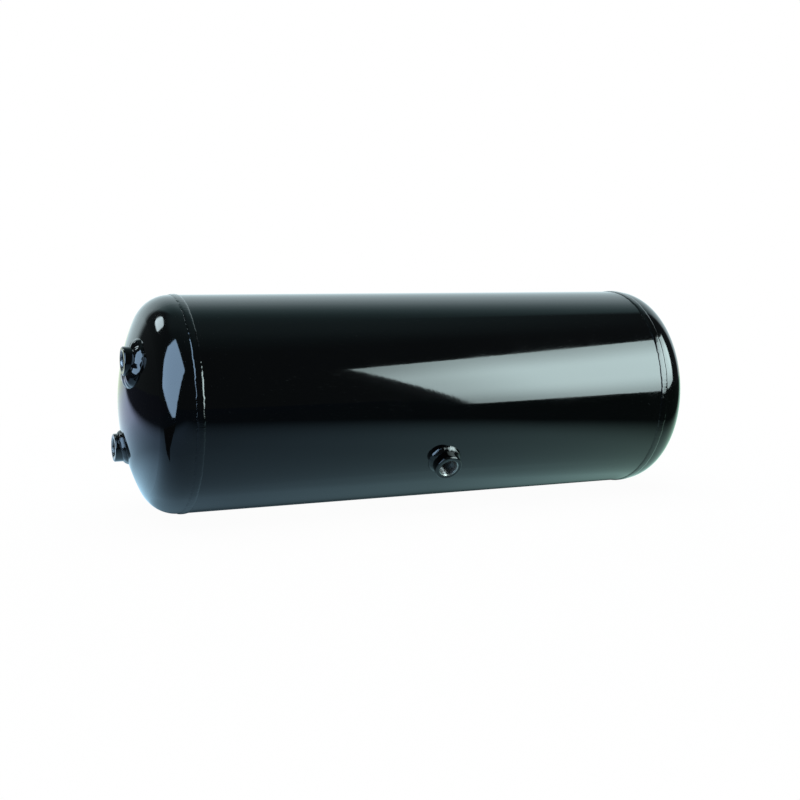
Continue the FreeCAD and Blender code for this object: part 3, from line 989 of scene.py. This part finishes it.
def make_table(stage):
    """A white table. The camera sees it evenly lit, with a faint shadow under the tank."""
    material, tree = new_material("white_table")
    strength, tint = table_light(tree, stage)
    mirrored = tree.node("ShaderNodeEmission", Color=tint, Strength=strength)
    x, y, _ = tree.split(tree.node("ShaderNodeTexCoord").outputs["Object"])
    away = tree.math("SQRT", tree.add(tree.mul(x, x), tree.mul(y, y)))
    glow = tree.remap(away, *SHADOW_REACH, 1.0 - stage.table_shade, 1.0)
    white = tree.node("ShaderNodeBsdfDiffuse", Color=(0.85, 0.85, 0.85, 1.0))
    even = tree.node("ShaderNodeEmission", Color=(1.0, 1.0, 1.0, 1.0), Strength=1.0)
    seen = tree.node("ShaderNodeMixShader")
    tree.feed(seen.inputs[0], glow)
    tree.tree.links.new(white.outputs[0], seen.inputs[1])
    tree.tree.links.new(even.outputs[0], seen.inputs[2])
    in_paint = tree.node("ShaderNodeLightPath").outputs["Is Glossy Ray"]
    join_shaders(tree, in_paint, seen, mirrored, "ShaderNodeOutputMaterial")
    corners = ((-1, -1), (1, -1), (1, 1), (-1, 1))
    sheet("table", [(x * TABLE_HALF, y * TABLE_HALF, FLOOR_LEVEL) for x, y in corners], material)


def make_stand(stage):
    """A black flag on a foot off the left end, which shows only in the paint."""
    material, tree = new_material("black_flag")
    surface(tree, Base_Color=(0.01, 0.01, 0.01, 1.0), Roughness=0.9)
    place, near, far, height, toe = -0.47, -0.088, -0.130, 0.075, (-0.405, -0.106)
    top_near, top_far = near + 0.015, far - 0.105
    lift = FLOOR_LEVEL + 0.001
    flag = sheet("light_flag", [(place, near, lift), (place, far, lift), (place, top_far, lift + height),
                                (place, top_near, lift + height)], material)
    foot = sheet("light_flag_foot", [(place, near, lift), (place, far, lift), (*toe, lift)], material)
    for piece in (flag, foot):
        piece.visible_camera = piece.visible_diffuse = piece.visible_shadow = False


class Softbox(NamedTuple):
    """A flat light. It shines against outward, and side runs along its width.

    edges holds, for each of right, left, top and bottom, how wide the fade is and what it falls to.
    """

    centre: tuple
    outward: tuple
    side: tuple
    size: tuple
    edges: tuple


RIGHT_SOFTBOX = Softbox((0.804, -0.690, 0.296), (0.184, -0.739, 0.648), (0.870, 0.429, 0.242),
                        (1.07, 0.825), ((0.1, 0.6), (0.25, 0.7), (0.3, 0.6), (0.45, 0.6)))
LEFT_SOFTBOX = Softbox((-0.947, -0.444, 0.489), (-0.890, -0.319, 0.325), (0.163, -0.890, -0.426),
                       (0.806, 1.202), ((0.05, 0.8),) * 4)
REAR_LAMP = Softbox((-0.889, 0.467, 0.783), (-0.57, 0.53, 0.63), (0.68, 0.73, 0.0),
                    (0.30, 0.42), ((0.15, 0.2),) * 4)
TOP_LIGHT = Softbox((0.0, 0.2, 2.4), (0, 0, 1), (1, 0, 0), (3.0, 3.0), ((0.1, 0.5),) * 4)


def fading_light(name, box, radiance):
    """An area light of even radiance that fades towards its edges."""
    light = bpy.data.lights.new(name, "AREA")
    light.shape = "RECTANGLE"
    light.size, light.size_y = box.size
    light.energy = math.pi * box.size[0] * box.size[1]
    light.use_nodes = True
    light.node_tree.nodes.clear()
    tree = Tree(light.node_tree)
    u, v, _ = tree.split(tree.node("ShaderNodeNewGeometry").outputs["Parametric"])
    fade = 1.0
    insets = (tree.sub(1.0, u), u, tree.sub(1.0, v), v)
    for inset, (width, least) in zip(insets, box.edges):
        fade = tree.mul(fade, tree.remap(inset, 0.0, width, least, 1.0))
    emission = tree.node("ShaderNodeEmission", Color=(*radiance, 1.0), Strength=fade)
    output = tree.node("ShaderNodeOutputLight")
    tree.tree.links.new(emission.outputs[0], output.inputs[0])
    return light


def hang_light(name, box, radiance, shape="RECTANGLE", **visibility):
    """Puts a fading light in its place, turned towards the tank."""
    light = fading_light(name, box, radiance)
    light.shape = shape
    lamp = bpy.data.objects.new(name, light)
    bpy.context.scene.collection.objects.link(lamp)
    back = Vector(box.outward).normalized()
    up = back.cross(Vector(box.side)).normalized()
    columns = Matrix((up.cross(back), up, back)).transposed()
    lamp.matrix_world = Matrix.Translation(Vector(box.centre)) @ columns.to_4x4()
    lamp.visible_camera = False
    for key, value in visibility.items():
        setattr(lamp, key, value)


def make_lights(stage):
    """A softbox off the right end, another off the left, a small lamp behind and a soft top light."""
    hang_light("right_softbox", RIGHT_SOFTBOX, stage.softbox, visible_diffuse=False)
    hang_light("left_softbox", LEFT_SOFTBOX, stage.card, visible_diffuse=False)
    hang_light("rear_lamp", REAR_LAMP, stage.spot, "ELLIPSE", visible_diffuse=False)
    hang_light("top_light", TOP_LIGHT, (stage.top,) * 3, visible_glossy=False)


OPERATORS = (TANK_OT_paint_plate, TANK_OT_girth_welds, TANK_OT_seam_weld, TANK_OT_bosses,
             TANK_OT_port_welds, TANK_OT_studio)


class TANK_PT_sidebar(bpy.types.Panel):
    """The tank's steps, in order"""

    bl_idname = "TANK_PT_sidebar"
    bl_label = "Air Reservoir"
    bl_space_type = "VIEW_3D"
    bl_region_type = "UI"
    bl_category = "Tank"

    def draw(self, context):
        for operator in OPERATORS:
            self.layout.operator(operator.bl_idname)
        for group in ("tank_finish", "tank_welds", "tank_bosses", "tank_stage"):
            box = self.layout.box()
            values = getattr(context.scene, group)
            for name in values.__annotations__:
                box.prop(values, name)


CLASSES = (*SETTINGS, *OPERATORS, TANK_PT_sidebar)
POINTERS = {"tank_finish": TankFinish, "tank_welds": TankWelds, "tank_bosses": TankBosses,
            "tank_stage": TankStage}


def register():
    for entry in CLASSES:
        bpy.utils.register_class(entry)
    for name, group in POINTERS.items():
        setattr(bpy.types.Scene, name, bpy.props.PointerProperty(type=group))


def unregister():
    for name in POINTERS:
        delattr(bpy.types.Scene, name)
    for entry in reversed(CLASSES):
        bpy.utils.unregister_class(entry)


def main():
    register()
    bpy.ops.tank.paint_plate()
    bpy.ops.tank.girth_welds()
    bpy.ops.tank.seam_weld()
    bpy.ops.tank.bosses()
    bpy.ops.tank.port_welds()
    bpy.ops.tank.studio()


if __name__ == "__main__":
    main()
